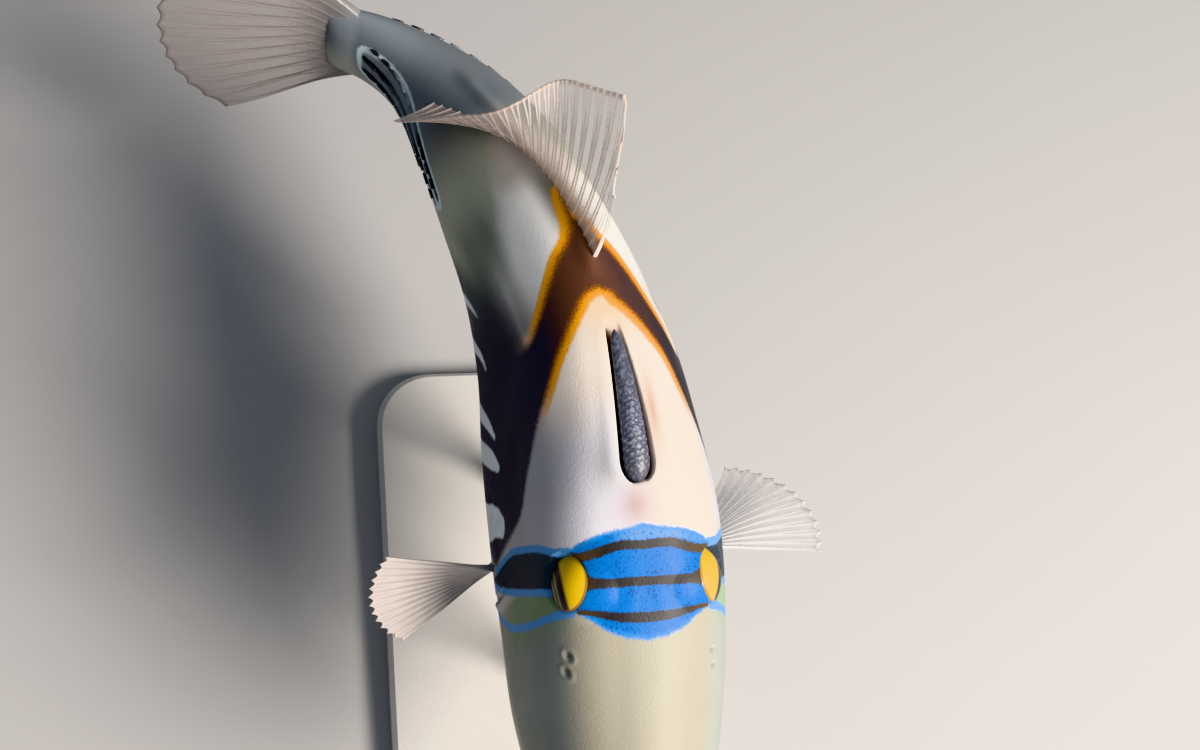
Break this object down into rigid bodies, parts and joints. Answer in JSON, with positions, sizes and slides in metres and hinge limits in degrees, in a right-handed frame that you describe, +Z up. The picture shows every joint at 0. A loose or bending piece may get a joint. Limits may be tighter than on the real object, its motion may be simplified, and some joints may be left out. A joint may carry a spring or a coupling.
{
  "type": "picasso triggerfish",
  "caption": "Still, life-size picasso triggerfish turning towards its right on a plain display stand.",
  "frame": {"origin": "middle of the stand base's underside", "axes": "+X the way the fish faces, +Y its left, +Z up"},
  "size_m": [0.1931, 0.1323, 0.1611],
  "materials": {
    "head_skin": "satin",
    "trunk_skin": "satin",
    "stalk_skin": "satin",
    "fin_skin": "satin",
    "eye": "gloss",
    "lip_skin": "satin",
    "spine_bone": "matt",
    "pelvic_bone": "matt",
    "stand_paint": "satin",
    "rod_steel": "brushed"
  },
  "bodies": {
    "root": {"head": "head_skin", "trunk": "trunk_skin", "tail_stalk": "stalk_skin", "eye_left": "eye", "eye_right": "eye", "upper_lip": "lip_skin", "lower_lip": "lip_skin", "trigger_spine": "spine_bone", "pelvic_spine": "pelvic_bone", "soft_dorsal_fin": "fin_skin", "anal_fin": "fin_skin", "tail_fin": "fin_skin", "pectoral_fin_left": "fin_skin", "pectoral_fin_right": "fin_skin", "stand_base": "stand_paint", "stand_rod_front": "rod_steel", "stand_rod_rear": "rod_steel"}
  },
  "joints": []
}
